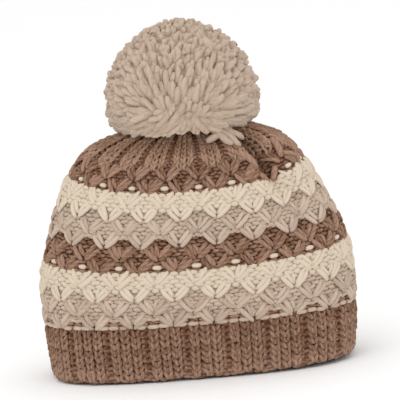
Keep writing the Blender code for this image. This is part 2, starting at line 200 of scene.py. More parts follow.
def patternPlace(repeat, run):
    # Repeats to the share of the way round: shifted, leaning with the run, and widened at the
    # front and back by a sine that goes twice round the hat
    share = run / wholeRun
    lean = hatShape["patternLean"] * np.clip(share - hatShape["leanFrom"], 0.0, 1.0)
    around = (repeat + hatShape["patternShift"] + lean) / hatShape["repeats"]
    start, growth = hatShape["wideningRun"]
    widening = hatShape["frontWidening"] * np.clip((share - start) / growth, 0.0, 1.0)
    return around + widening * np.sin(4 * math.pi * around) / (4 * math.pi)


def onCloth(repeat, run, lift):
    # The cloth's point moved along its outward direction, which is the cross product of the
    # slopes round and up
    run = np.broadcast_to(run, repeat.shape)
    around = patternPlace(repeat, run)
    step = 1e-4
    low = np.clip(run - step, 0.0, wholeRun)
    high = np.clip(run + step, 0.0, wholeRun)
    across = clothPoint(around + step, run) - clothPoint(around - step, run)
    up = clothPoint(around, high) - clothPoint(around, low)
    normal = np.cross(across, up)
    normal /= np.linalg.norm(normal, axis=-1, keepdims=True)
    return clothPoint(around, run) + normal * (lift + foldLift(around, run))[..., None], normal


def unit(vectors):
    return vectors / (np.linalg.norm(vectors, axis=-1, keepdims=True) + 1e-12)


def quadsBetween(low, high):
    # Corners of the quads between two rows of points that close round. They face out where the
    # rows go round against the clock, seen from the high one's side.
    return np.stack([low, np.roll(low, -1, axis=-1), np.roll(high, -1, axis=-1), high], axis=-1)


def bezier(start, middle, end, s):
    # A curve from its start to its end that a middle point pulls towards itself
    return (1 - s) ** 2 * start + 2 * s * (1 - s) * middle + s**2 * end


class YarnPile:
    # Gathers tubes and sheets and makes one mesh of them, with a yarn UV map (metres along,
    # share around), a lift attribute (metres off the cloth) and a tone attribute (0 to 1)

    def __init__(self, seed):
        self.rng = np.random.default_rng(seed)
        self.points = []
        self.corners = []
        self.sizes = []
        self.uvs = []
        self.lifts = []
        self.tones = []
        self.count = 0

    def add(self, points, lifts, tones, faces, uvs):
        self.points.append(points.reshape(-1, 3))
        self.lifts.append(np.broadcast_to(lifts, points.shape[:-1]).reshape(-1))
        self.tones.append(np.broadcast_to(tones, points.shape[:-1]).reshape(-1))
        for corner, uv in zip(faces, uvs):
            self.corners.append((corner + self.count).reshape(-1))
            self.sizes.append(np.full(len(corner), corner.shape[1]))
            self.uvs.append(uv.reshape(-1, 2))
        self.count += points.reshape(-1, 3).shape[0]

    def tubes(self, path, up, radius, sides, lift=0.0, tone=0.5, closed=False, flat=1.0):
        # A round profile carried along many paths at once: path is (tubes, steps, 3)
        count, steps = path.shape[:2]
        if closed:
            tangent = np.roll(path, -1, axis=1) - np.roll(path, 1, axis=1)
        else:
            tangent = np.gradient(path, axis=1)
        tangent = unit(tangent)
        side = unit(np.cross(tangent, up))
        top = np.cross(side, tangent)
        angle = np.linspace(0.0, 2 * math.pi, sides, endpoint=False)
        radius = np.broadcast_to(radius, (count, steps))
        across = radius[..., None] * np.cos(angle)
        above = radius[..., None] * np.sin(angle) * flat
        points = (path[:, :, None] + across[..., None] * side[:, :, None]
                  + above[..., None] * top[:, :, None])
        lifts = np.broadcast_to(lift, (count, steps))[..., None] + above
        index = np.arange(count * steps * sides).reshape(count, steps, sides)
        if closed:
            here, there = index, np.roll(index, -1, axis=1)
            gap = np.linalg.norm(np.roll(path, -1, axis=1) - path, axis=-1)
        else:
            here, there = index[:, :-1], index[:, 1:]
            gap = np.linalg.norm(np.diff(path, axis=1), axis=-1)
        # the profile goes round with the clock seen from there, so the quads start there
        quads = quadsBetween(there, here)
        end = np.cumsum(gap, axis=1)
        start = end - gap
        turn = np.arange(sides) / sides
        lowV = np.broadcast_to(turn, here.shape)[..., None]
        highV = lowV + 1 / sides
        lowU = np.broadcast_to(start[..., None], here.shape)[..., None]
        highU = np.broadcast_to(end[..., None], here.shape)[..., None]
        quadUv = np.concatenate([highU, lowV, highU, highV, lowU, highV, lowU, lowV], axis=-1)
        faces = [quads.reshape(-1, 4)]
        uvs = [quadUv.reshape(-1, 4, 2)]
        if not closed:
            caps = np.concatenate([index[:, 0], index[:, -1, ::-1]])
            capV = np.broadcast_to(turn, caps.shape)
            capU = np.concatenate([np.zeros(count), end[:, -1]])[:, None] + np.zeros(sides)
            faces.append(caps)
            uvs.append(np.stack([capU, capV], axis=-1))
        self.add(points, lifts, np.reshape(tone, (-1, 1, 1)), faces, uvs)

    def wall(self, lowest, highest, rowCount, outer, inner, tone=0.4, columnCount=160):
        # A closed wall round the hat: the outer side up, over the edge, and the inner side down.
        # Its colour goes towards the painted depth shading by its lift, all the way on the inner side.
        repeats = np.arange(columnCount) / columnCount * hatShape["repeats"]
        rise = np.linspace(lowest, highest, rowCount)
        runs = np.concatenate([rise, rise[::-1]])
        lifts = np.repeat([outer, inner], rowCount)
        grid = np.broadcast_to(repeats, (len(runs), len(repeats)))
        points, _ = onCloth(grid, runs[:, None], lifts[:, None] + 0 * grid)
        index = np.arange(points.shape[0] * points.shape[1]).reshape(points.shape[:2])
        quads = quadsBetween(index, np.roll(index, -1, axis=0))
        u = np.broadcast_to(repeats * hatShape["repeatWidth"], quads.shape[:2])
        v = np.broadcast_to(runs[:, None], quads.shape[:2])
        uv = np.stack([u, v, u, v, u, v, u, v], axis=-1).reshape(-1, 4, 2)
        self.add(points, lifts[:, None], tone, [quads.reshape(-1, 4)], [uv])

    def ball(self, rings, poles, lift, tone=0.5):
        # Rings from the lowest to the highest, closed by a pole point at each end
        rows, columns = rings.shape[:2]
        index = np.arange(rows * columns).reshape(rows, columns)
        quads = quadsBetween(index[:-1], index[1:]).reshape(-1, 4)
        bottom, top = rows * columns, rows * columns + 1
        feet = np.stack([np.full(columns, bottom), np.roll(index[0], -1), index[0]], axis=-1)
        heads = np.stack([np.full(columns, top), index[-1], np.roll(index[-1], -1)], axis=-1)
        points = np.concatenate([rings.reshape(-1, 3), poles])
        faces = [quads, np.concatenate([feet, heads])]
        uvs = [points[face][..., [0, 2]] for face in faces]
        self.add(points, lift, tone, faces, uvs)

    def build(self, name, material, nodes):
        mesh = bpy.data.meshes.new(name)
        points = np.concatenate(self.points)
        corners = np.concatenate(self.corners)
        sizes = np.concatenate(self.sizes)
        mesh.vertices.add(len(points))
        mesh.vertices.foreach_set("co", points.astype(np.float32).ravel())
        mesh.loops.add(len(corners))
        mesh.loops.foreach_set("vertex_index", corners.astype(np.int32))
        mesh.polygons.add(len(sizes))
        starts = np.cumsum(sizes) - sizes
        mesh.polygons.foreach_set("loop_start", starts.astype(np.int32))
        mesh.polygons.foreach_set("loop_total", sizes.astype(np.int32))
        mesh.update(calc_edges=True)
        mesh.polygons.foreach_set("use_smooth", np.ones(len(sizes), dtype=bool))
        layer = mesh.uv_layers.new(name="yarn")
        layer.uv.foreach_set("vector", np.concatenate(self.uvs).astype(np.float32).ravel())
        for title, values in (("lift", self.lifts), ("tone", self.tones)):
            attribute = mesh.attributes.new(title, "FLOAT", "POINT")
            attribute.data.foreach_set("value", np.concatenate(values).astype(np.float32))
        mesh.materials.append(material)
        piece = bpy.data.objects.new(name, mesh)
        bpy.context.collection.objects.link(piece)
        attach(piece, "root")
        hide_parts(*nodes)
        print(f"{name}: {(sizes - 2).sum()} triangles")


# Materials

fibreLook = {
    "circle": 2.2,               # size of a strand's girth in the fibre noise
    "toneShift": 37.0,           # how far apart two strands of different tone are in that noise
    "fibre": (2.3, 4.0, 0.62),   # scale, detail and roughness of each noise
    "fuzz": (1500.0, 3.0, 0.5),
    "slow": (45.0, 2.0, 0.5),
    "plies": 3.0,
    "shares": (0.62, 0.14, 0.16, 0.16),      # of the fibres, slow noise, tone and plies in the shade
}
yarnInputs = {                   # the group's inputs, and the value of a yarn that states none
    "strandScale": 260.0,        # how fast the fibre noise runs along the strand
    "twist": 60.0,               # turns of the fibres a metre
    "fuzz": 0.4,
    "ply": 0.6,
    "plyTurns": 190.0,           # turns of the plies a metre
    "fullShadingLift": -0.004,          # lift at which the colour is all the painted depth shading
    "noShadingLift": 0.001,            # lift at which none of the painted depth shading is left
}
yarnFinish = {                   # the rest of what such a yarn has
    "darkAt": 0.36,              # shades at which the colour is all dark and all light
    "lightAt": 0.64,
    "bump": 0.55,
    "bumpHeight": 0.0005,
    "roughness": 0.85,
    "specular": 0.25,
    "sheen": 0.25,
    "sheenRoughness": 0.45,
}


def yarnFibreGroup():
    # Fibres that wind round the strand, a slow change of shade along it, and fuzz over it.
    # The winding is noise on (along, around + along x twist), drawn out along the strand.
    group = bpy.data.node_groups.new("yarnFibres", "ShaderNodeTree")
    for way, names in (("INPUT", yarnInputs), ("OUTPUT", ("Shade", "Depth", "Height", "Tone"))):
        for name in names:
            group.interface.new_socket(name=name, in_out=way, socket_type="NodeSocketFloat")
    nodes = group.nodes
    link = group.links.new
    inputs = nodes.new("NodeGroupInput")
    outputs = nodes.new("NodeGroupOutput")
    uv = nodes.new("ShaderNodeUVMap")
    uv.uv_map = "yarn"
    split = nodes.new("ShaderNodeSeparateXYZ")
    link(uv.outputs["UV"], split.inputs[0])

    def maths(operation, a, b=None):
        node = nodes.new("ShaderNodeMath")
        node.operation = operation
        for place, value in enumerate((a, b)):
            if value is None:
                continue
            if isinstance(value, (int, float)):
                node.inputs[place].default_value = value
            else:
                link(value, node.inputs[place])
        return node.outputs[0]

    def plus(a, b):
        return maths("ADD", a, b)

    def times(a, b):
        return maths("MULTIPLY", a, b)

    def attribute(name):
        node = nodes.new("ShaderNodeAttribute")
        node.attribute_name = name
        return node.outputs["Fac"]

    def noise(settings, vector):
        node = nodes.new("ShaderNodeTexNoise")
        for title, value in zip(("Scale", "Detail", "Roughness"), settings):
            node.inputs[title].default_value = value
        link(vector, node.inputs["Vector"])
        return node.outputs["Fac"]

    along = split.outputs["X"]
    around = split.outputs["Y"]
    tone = attribute("tone")
    # around as a circle, so that the fibres meet where the strand's UV map closes
    angle = times(plus(around, times(along, inputs.outputs["twist"])), 2 * math.pi)
    circle = nodes.new("ShaderNodeCombineXYZ")
    across = times(maths("COSINE", angle), fibreLook["circle"])
    link(times(along, inputs.outputs["strandScale"]), circle.inputs["X"])
    link(plus(across, times(tone, fibreLook["toneShift"])), circle.inputs["Y"])
    link(times(maths("SINE", angle), fibreLook["circle"]), circle.inputs["Z"])
    place = nodes.new("ShaderNodeTexCoord").outputs["Object"]
    fibre = noise(fibreLook["fibre"], circle.outputs[0])
    fuzz = noise(fibreLook["fuzz"], place)
    slow = noise(fibreLook["slow"], place)
    # plies: a cosine that goes three times round the strand and winds along it; it raises the bump and
    # is painted shade too, lighter on the ply crests and darker in the grooves between them
    plyTurn = plus(times(around, fibreLook["plies"]), times(along, inputs.outputs["plyTurns"]))
    ply = maths("COSINE", times(plyTurn, 2 * math.pi))
    plyPart = times(plus(times(ply, 0.5), 0.5), inputs.outputs["ply"])
    link(plus(plus(fibre, times(fuzz, inputs.outputs["fuzz"])), plyPart), outputs.inputs["Height"])
    # The fibre noise lightens the colour where it raises the bump, and the slow noise and tone are the
    # yarn's own changes of colour
    shade = 0.0
    for part, share in zip((fibre, slow, tone, plyPart), fibreLook["shares"]):
        shade = plus(shade, times(part, share))
    link(shade, outputs.inputs["Shade"])
    link(times(tone, slow), outputs.inputs["Tone"])
    # Depth: the share of the painted depth shading, by the lift attribute
    depth = nodes.new("ShaderNodeMapRange")
    depth.interpolation_type = "SMOOTHSTEP"
    link(attribute("lift"), depth.inputs["Value"])
    link(inputs.outputs["fullShadingLift"], depth.inputs["From Min"])
    link(inputs.outputs["noShadingLift"], depth.inputs["From Max"])
    link(depth.outputs["Result"], outputs.inputs["Depth"])
    return group


yarnFibres = yarnFibreGroup()


def srgb(red, green, blue):
    # Screen values from 0 to 255 to linear ones
    values = np.array([red, green, blue]) / 255
    linear = np.where(values <= 0.04045, values / 12.92, ((values + 0.055) / 1.055) ** 2.4)
    return (*map(float, linear), 1.0)


def yarnMaterial(name, look):
    # The shade runs from the dark colour to the light one, then goes towards the tint with the
    # strand's tone, and towards the painted depth shading with the depth in the cloth: painted
    # shade in the brown yarns' gaps, painted light that lifts the shadow in the pale yarns' gaps
    look = {**yarnInputs, **yarnFinish, **look}
    material = bpy.data.materials.new(name)
    material.use_nodes = True
    nodes = material.node_tree.nodes
    link = material.node_tree.links.new
    shader = nodes["Principled BSDF"]
    fibres = nodes.new("ShaderNodeGroup")
    fibres.node_tree = yarnFibres
    for title in yarnInputs:
        fibres.inputs[title].default_value = look[title]
    ramp = nodes.new("ShaderNodeValToRGB")
    for element, shade in zip(ramp.color_ramp.elements, ("dark", "light")):
        element.position = look[shade + "At"]
        element.color = look[shade]
    link(fibres.outputs["Shade"], ramp.inputs["Fac"])
    tinted = nodes.new("ShaderNodeMix")
    tinted.data_type = "RGBA"
    tinted.inputs["B"].default_value = look["tint"]
    link(fibres.outputs["Tone"], tinted.inputs["Factor"])
    link(ramp.outputs["Color"], tinted.inputs["A"])
    mix = nodes.new("ShaderNodeMix")
    mix.data_type = "RGBA"
    mix.inputs["A"].default_value = look["paintedDepthShading"]
    link(fibres.outputs["Depth"], mix.inputs["Factor"])
    link(tinted.outputs["Result"], mix.inputs["B"])
    link(mix.outputs["Result"], shader.inputs["Base Color"])
    bump = nodes.new("ShaderNodeBump")
    bump.inputs["Strength"].default_value = look["bump"]
    bump.inputs["Distance"].default_value = look["bumpHeight"]
    link(fibres.outputs["Height"], bump.inputs["Height"])
    link(bump.outputs["Normal"], shader.inputs["Normal"])
    shader.inputs["Roughness"].default_value = look["roughness"]
    shader.inputs["Specular IOR Level"].default_value = look["specular"]
    shader.inputs["Sheen Weight"].default_value = look["sheen"]
    shader.inputs["Sheen Roughness"].default_value = look["sheenRoughness"]
    shader.inputs["Sheen Tint"].default_value = look["light"]
    return material


# Brown yarns: the painted depth shading is darker than the yarn, painted shade in the gaps between
# stitches
brownLook = {
    "light": srgb(188, 156, 132), "dark": srgb(102, 66, 44),
    "paintedDepthShading": srgb(100, 60, 38), "tint": srgb(150, 115, 99),
    "fullShadingLift": -0.0021, "noShadingLift": 0.0003, "ply": 0.6, "darkAt": 0.39, "lightAt": 0.66,
}
brownYarn = yarnMaterial("brown yarn", brownLook)
brownPatternYarn = yarnMaterial("brown pattern yarn", dict(
    brownLook, light=srgb(184, 152, 128), paintedDepthShading=srgb(94, 55, 34), fullShadingLift=-0.0014))
# Painted light: a lighter copy of the brown yarn for the crown, lifting the shade that the pompom and
# the crown's slope put on it
brownCrownLitYarn = yarnMaterial("brown crown yarn painted lighter", dict(
    brownLook, light=srgb(202, 171, 147), dark=srgb(122, 86, 63), paintedDepthShading=srgb(112, 71, 47)))
# Pale yarns: the painted depth shading is light, painted light that lifts the shadow in the gaps
# between stitches
beigeYarn = yarnMaterial("beige yarn", {
    "light": srgb(205, 186, 168), "dark": srgb(170, 149, 131),
    "paintedDepthShading": srgb(206, 182, 161), "tint": srgb(198, 176, 160),
    "fullShadingLift": -0.0040, "noShadingLift": 0.0002, "ply": 0.4})
creamYarn = yarnMaterial("cream yarn", {
    "light": srgb(210, 195, 176), "dark": srgb(206, 191, 172),
    "paintedDepthShading": srgb(252, 236, 214), "tint": srgb(214, 198, 176),
    "fullShadingLift": -0.0040, "noShadingLift": 0.0004, "bump": 0.25, "ply": 0.4})
pompomYarn = yarnMaterial("oatmeal pompom yarn", {
    "light": srgb(200, 181, 163), "dark": srgb(174, 154, 135),
    "paintedDepthShading": srgb(230, 210, 188), "tint": srgb(192, 170, 154),
    "fullShadingLift": -0.010, "noShadingLift": 0.0, "fuzz": 0.9, "bump": 0.6, "sheen": 0.35,
    "plyTurns": 210.0, "ply": 0.5})

# Knitted courses

ribStitches = {                  # three knit stitches and one purl, the last knit one under a V tip
    "edges": (-0.07, 0.20, 0.39, 0.66, 0.93),
    "faces": (1, -1, 1, 1),
}
plainStitches = {                # four purl stitches, the ground of the V pattern
    "edges": (0.0, 0.25, 0.5, 0.75, 1.0),
    "faces": (-1, -1, -1, -1),
}
coursePlain = {                  # what a course has where its own values don't say otherwise
    "lean": 0.0,
    "bend": 0.0,                 # how far the row dips between the V stitches, in metres
    "roundness": 0.0,
    "tilt": 0.0,                 # half of how much higher a stitch's left leg is than its right one
    "tiltPlump": 90.0,           # share by which that leg is thicker, for a metre of tilt
    "stagger": 0.0,              # how far every other row is moved round, in repeats
    "plump": 0.10,               # share by which legs are thicker than heads and feet
    "blend": 5,                  # samples over which a knit stitch turns into a purl one
    "uneven": 0.06,              # spread of the loops' sizes, as a share
    "unevenLift": 0.003,         # spread of their lift, in metres for the same share
    "unevenPlace": 0.004,        # spread of their places, in repeats
    "lowest": 0.0006,            # no loop goes lower than this above the rim
    "thinning": (0.35, 0.72),    # thickness at no girth, and what the full girth adds, up to one
}


def knitCourses(pile, rows, stitches, look):
    # Each row is one closed yarn of loops. Over one stitch, t goes once round the circle:
    # across = t / full turn + swing x sin 2t + lean x (cos t - 1), up = -reach x cos t, and
    # lift = -face x (sink x cos 2t + roundness x cos of the turn across) + tilt x sin t. Legs of
    # a knit stitch come forward, and heads and feet of a purl one. The bend lowers the whole row
    # between the V stitches by a cosine of the repeat.
    look = {**coursePlain, **look}
    repeats = hatShape["repeats"]
    samples = look["samples"]
    edges = np.array(stitches["edges"])
    perRepeat = len(edges) - 1
    share = np.arange(samples) / samples
    t = 2 * math.pi * share
    across = share + look["swing"] * np.sin(2 * t) + look["lean"] * (np.cos(t) - 1)
    left = edges[:-1, None] + np.diff(edges)[:, None] * across
    repeat = (np.arange(repeats)[:, None, None] + left).reshape(-1)
    total = repeats * perRepeat
    faces = np.repeat(np.tile(stitches["faces"], repeats), samples).astype(float)
    smooth = look["blend"]
    faces = np.concatenate([faces[-smooth:], faces, faces[:smooth]])
    faces = np.convolve(faces, np.ones(smooth) / smooth, "same")[smooth:-smooth]
    once = np.tile(np.cos(t), total)
    twice = np.tile(np.cos(2 * t), total)
    leftLeg = np.tile(np.sin(t), total)
    rowCount = len(rows)

    def perLoop():
        # One random value for each loop of each row
        return np.repeat(pile.rng.standard_normal((rowCount, total)), samples, axis=1)

    loopSize = 1 + look["uneven"] * perLoop()
    loopShift = look["unevenLift"] * look["uneven"] * perLoop()
    run = rows[:, None] - look["reach"] * once * loopSize + loopShift
    run = run - look["bend"] * np.cos(2 * math.pi * repeat)
    narrow = np.clip(girthShare(rows), 0.0, 1.0)[:, None]
    ground = np.where(faces > 0, look["knitLift"] * faces, -look["purlLift"] * faces)
    ground = ground - look["roundness"] * faces * np.cos(2 * math.pi * np.tile(across, total))
    ground = ground + look["tilt"] * np.clip(faces, 0, 1) * leftLeg
    lift = ground + look["lift"] - faces * look["sink"] * twice + loopShift
    shift = look["stagger"] * (np.arange(rowCount) % 2)[:, None]
    where = repeat + shift + look["unevenPlace"] * perLoop()
    path, up = onCloth(where, np.clip(run, look["lowest"], wholeRun), lift)
    plump = 1 - look["plump"] * twice * np.sign(faces) + look["tiltPlump"] * look["tilt"] * leftLeg
    thin, more = look["thinning"]
    radius = look["radius"] * plump * np.minimum(1.0, thin + more * narrow)
    tone = pile.rng.random(rowCount)
    pile.tubes(path, up, radius, look["sides"], lift=lift, tone=tone, closed=True)


notchRise = {                    # how far above the V tips the colour changes between them
    "brimTop": 0.0040,
    "beigeLowTop": 0.0060,
    "creamLowTop": 0.0002,
    "brownTop": 0.0062,
    "beigeHighTop": 0.0060,
    "creamHighTop": 0.0002,
    "crownStitchTop": 0.0096,
}
brimLook = {
    "seed": 7,
    "rows": 8,
    "firstRow": 0.0060,
    "topGap": 0.0028,            # from the last row to the V tips above it
    "radius": 0.00162,
    "swing": 0.235,
    "lean": 0.115,
    "tilt": 0.0008,
    "reach": 0.0038,
    "sink": 0.0008,
    "roundness": 0.0018,
    "lift": -0.0022,
    "knitLift": 0.0006,
    "purlLift": -0.0017,
    "uneven": 0.11,
    "samples": 14,
    "sides": 6,
    # lying loops, as places, length, radius, lift and arch, and the runs that they lie at
    "castOnLow": ((0.03, 0.22, 0.41, 0.62, 0.82), 0.0060, 0.00165, -0.0016, 0.0),
    "castOnLowRun": 0.0021,
    "castOnHigh": ((0.13, 0.31, 0.53, 0.72, 0.93), 0.0050, 0.00140, -0.0012, 0.0006),
    "castOnHighRun": 0.0042,
    "topLoops": ((0.25, 0.5, 0.75), 0.0078, 0.00150, -0.0010, 0.0),
    "topLoopsBelow": (0.0006, 0.0030),       # under the colour change
    "tipGround": ((-0.06, 0.06), 0.0060, 0.00150, -0.0022, 0.0),
    "tipGroundBelow": 0.0006,                # under the V tips
    "purlHeads": ((0.295,), 0.0066, 0.00155, -0.0024, -0.0006),
    "purlHeadsAbove": 0.0012,                # over each row
    "edgeHeads": ((0.295,), 0.0066, 0.00125, -0.0016, 0.0006),
    "edgeHeadRuns": (0.0082, 0.0118),
    "wallFrom": 0.0014,
    "wallBelow": 0.0004,                     # under the colour change
    "wall": (6, -0.0026, -0.0046),           # rows, outer lift and inner lift
}
loopPlain = {                    # what all lying loops have
    "steps": 7,
    "sides": 6,
    "placeSpread": 0.01,
    "lengthSpread": 0.10,
    "runSpread": 0.0002,
    "endSink": 0.0014,
    "endTaper": 0.82,            # share of the section that is gone at an end
}


def addLoops(pile, run, places, length, radius, lift, arch):
    # Short lying loops: an arc along the row, highest in its middle and sunk at both ends with
    # the fourth power of the place along it
    look = loopPlain
    centre = (np.arange(hatShape["repeats"])[:, None] + np.array(places)).reshape(-1)
    centre = centre + look["placeSpread"] * pile.rng.standard_normal(len(centre))
    s = np.linspace(-1.0, 1.0, look["steps"])[None, :]
    size = length * (1 + look["lengthSpread"] * pile.rng.standard_normal((len(centre), 1)))
    where = centre[:, None] + s * size / 2 / hatShape["repeatWidth"]
    up = run + arch * (1 - s**2) + look["runSpread"] * pile.rng.standard_normal((len(centre), 1))
    height = lift - look["endSink"] * s**4 + 0 * where
    path, normal = onCloth(where, up, height)
    width = radius * np.sqrt(1 - look["endTaper"] * s**4)
    tone = pile.rng.random(len(centre))
    pile.tubes(path, normal, width, look["sides"], lift=height, tone=tone)


def makeBrim():
    look = brimLook
    pile = YarnPile(look["seed"])
    tips = runAt["brimTop"]
    top = tips + notchRise["brimTop"]
    rows = np.linspace(look["firstRow"], tips - look["topGap"], look["rows"])
    knitCourses(pile, rows, ribStitches, look)
    addLoops(pile, look["castOnLowRun"], *look["castOnLow"])
    addLoops(pile, look["castOnHighRun"], *look["castOnHigh"])
    for below in look["topLoopsBelow"]:
        addLoops(pile, top - below, *look["topLoops"])
    addLoops(pile, tips - look["tipGroundBelow"], *look["tipGround"])
    for row in rows:
        addLoops(pile, row + look["purlHeadsAbove"], *look["purlHeads"])
    for run in look["edgeHeadRuns"]:
        addLoops(pile, run, *look["edgeHeads"])
    pile.wall(look["wallFrom"], top - look["wallBelow"], *look["wall"])
    pile.build("knitted_brim", brownYarn, ["ribbed_brim"])


print("knitting the brim")
makeBrim()

# Colour bands

groundLook = {
    "seed": 11,
    "spacing": 0.0028,
    "radius": 0.00145,
    "swing": 0.13,
    "reach": 0.0013,
    "sink": 0.0006,
    "stagger": 0.06,             # every other row is moved by a quarter of a stitch
    "lift": -0.0019,
    "knitLift": 0.0,
    "purlLift": 0.0,
    "samples": 10,
    "sides": 5,
    "gaps": (0.0012, 0.0008),    # from the colour change below to the rows, and from them to the next
    "leastRows": 3,
    "wall": (4, -0.0026, -0.0040),           # rows, outer lift and inner lift
    # a fuller band's share of its fullness in the yarn's radius, the wall and the V stitches' lift
    "fullShares": (0.36, 1.5, 0.65),
    "tipFillFrom": 0.003,        # bands whose V tips hang lower than this have the loops below
    # short loops inside the V tips that hang over the band below: height above the tips, places,
    # length, radius, lift, arch
    "tipFill": (
        (0.0036, (0.0,), 0.0046, 0.00150, -0.0016, 0.0004),
        (0.0058, (-0.055, 0.055), 0.0050, 0.00150, -0.0018, 0.0004),
    ),
}
tulipLook = {
    # each strand of a V, from its tip to its arm's end: across and up at the start, middle and end,
    # thickness; metres at the widest part of the hat, mirrored for the other arm
    "strands": (
        (0.0009, -0.0002, 0.0062, 0.0034, 0.0112, 0.0092, 0.00198),
        (0.0006, 0.0020, 0.0040, 0.0062, 0.0080, 0.0114, 0.00185),
    ),
    "thirdStrand": (0.0002, 0.0030, 0.0012, 0.0070, 0.0026, 0.0106, 0.00150),
    "thirdChance": 0.35,
    "liftStops": (0.0, 0.16, 0.42, 0.70, 1.0),
    "lifts": (-0.0008, 0.0000, 0.0004, 0.0002, -0.0012),
    "widthStops": (0.0, 0.14, 0.40, 0.66, 0.86, 1.0),
    "widths": (0.55, 0.86, 1.0, 1.0, 0.84, 0.45),
    "steps": 10,
    "sides": 7,
    "flat": 0.76,
    "spread": 0.00040,
    "liftSpread": 0.0003,
    "widthSpread": 0.06,
    "narrowest": 0.55,           # thickness at no girth, as a share of the full one
    # where the cloth is pulled out of line: from and to round the hat, from this share of the run up
    "slack": (0.095, 0.190, 0.60),
    "slackSize": 1.18,
    "slackSpread": 0.0009,
}
# size of the V stitches, and the second row's share of the band and its added lift
evenBand = (1.0, 0.5, 0.0)
tallBands = {"creamHighTop": (1.06, 0.70, 0.0006)}       # the band over this edge


def addTulips(pile, tipRun, tipPlace, size, raised, leftOut, look):
    # Bezier curves on the cloth from the tip out along each arm, sunk at both ends. The cloth's
    # slack part has wider and looser ones.
    repeats = hatShape["repeats"]
    strands = np.array(look["strands"])
    mirrored = strands * np.array([-1, 1, -1, 1, -1, 1, 1])
    both = np.concatenate([strands, mirrored])
    rows = np.broadcast_to(both, (repeats, *both.shape)).reshape(-1, 7).copy()
    repeat = np.repeat(np.arange(repeats), len(both))
    extra = np.flatnonzero(pile.rng.random(repeats) < look["thirdChance"])
    third = np.array(look["thirdStrand"]) * np.ones((len(extra), 1))
    third[:, [0, 2, 4]] *= np.where(pile.rng.random(len(extra)) < 0.5, -1, 1)[:, None]
    rows = np.concatenate([rows, third])
    repeat = np.concatenate([repeat, extra])
    kept = ~np.isin(repeat + tipPlace, leftOut)
    rows = rows[kept]
    repeat = repeat[kept]
    slackFrom, slackTo, slackRun = look["slack"]
    place = (repeat + tipPlace) / repeats
    slack = (place > slackFrom) & (place < slackTo) & (tipRun > slackRun * wholeRun)
    rows[:, :6] *= size * np.where(slack, look["slackSize"], 1.0)[:, None]
    rows[:, :6] += (np.where(slack, look["slackSpread"], look["spread"])[:, None]
                    * pile.rng.standard_normal((len(rows), 6)))
    s = np.linspace(0.0, 1.0, look["steps"])[None, :]
    across = bezier(rows[:, 0, None], rows[:, 2, None], rows[:, 4, None], s)
    up = bezier(rows[:, 1, None], rows[:, 3, None], rows[:, 5, None], s)
    lift = np.interp(s, look["liftStops"], look["lifts"]) + raised
    lift = lift + look["liftSpread"] * pile.rng.standard_normal((len(rows), 1))
    width = np.interp(s, look["widthStops"], look["widths"])
    tight = look["narrowest"] + (1 - look["narrowest"]) * girthShare(np.array(tipRun))
    where = repeat[:, None] + tipPlace + across / hatShape["repeatWidth"]
    path, normal = onCloth(where, tipRun + up, lift)
    radius = rows[:, 6, None] * width * tight
    radius = radius * (1 + look["widthSpread"] * pile.rng.standard_normal((len(rows), 1)))
    tone = pile.rng.random(len(rows))
    pile.tubes(path, normal, radius, look["sides"], lift=lift, tone=tone, flat=look["flat"])


pulledLook = {
    # long strands on both sides of the crease on the right shoulder: repeat and share of the whole
    # run at the start, middle and end, then thickness and lift
    "band": "creamHighTop",
    "leftOut": (1.5, 2.0, 2.5),  # V stitches that these strands take the place of
    "steps": 12,
    "flat": 0.85,
    "strands": (
        (0.82, 0.775, 1.19, 0.752, 1.39, 0.700, 0.0026, 0.0012),
        (1.22, 0.718, 1.05, 0.690, 0.88, 0.670, 0.0030, 0.0008),
        (1.78, 0.768, 2.01, 0.737, 2.29, 0.708, 0.0021, 0.0004),
        (1.85, 0.745, 2.08, 0.720, 2.25, 0.696, 0.0021, 0.0002),
        (2.48, 0.778, 2.41, 0.745, 2.34, 0.710, 0.0028, 0.0012),
        (2.49, 0.722, 2.83, 0.704, 3.10, 0.690, 0.0021, 0.0002),
        (2.46, 0.704, 2.72, 0.690, 2.98, 0.676, 0.0020, 0.0),
        (2.08, 0.694, 2.01, 0.668, 1.91, 0.642, 0.0027, 0.0006),
        (1.41, 0.682, 1.63, 0.660, 1.85, 0.644, 0.0024, 0.0002),
    ),
}


def addPulled(pile, look):
    # The same Bezier strands as in the V stitches, each with places of its own
    rows = np.array(look["strands"])
    s = np.linspace(0.0, 1.0, look["steps"])[None, :]
    repeat = bezier(rows[:, 0, None], rows[:, 2, None], rows[:, 4, None], s)
    run = bezier(rows[:, 1, None], rows[:, 3, None], rows[:, 5, None], s) * wholeRun
    lift = np.interp(s, tulipLook["liftStops"], tulipLook["lifts"]) + rows[:, 7, None]
    path, normal = onCloth(repeat, run, lift)
    radius = rows[:, 6, None] * np.interp(s, tulipLook["widthStops"], tulipLook["widths"])
    tone = pile.rng.random(len(rows))
    pile.tubes(path, normal, radius, tulipLook["sides"], lift=lift, tone=tone, flat=look["flat"])


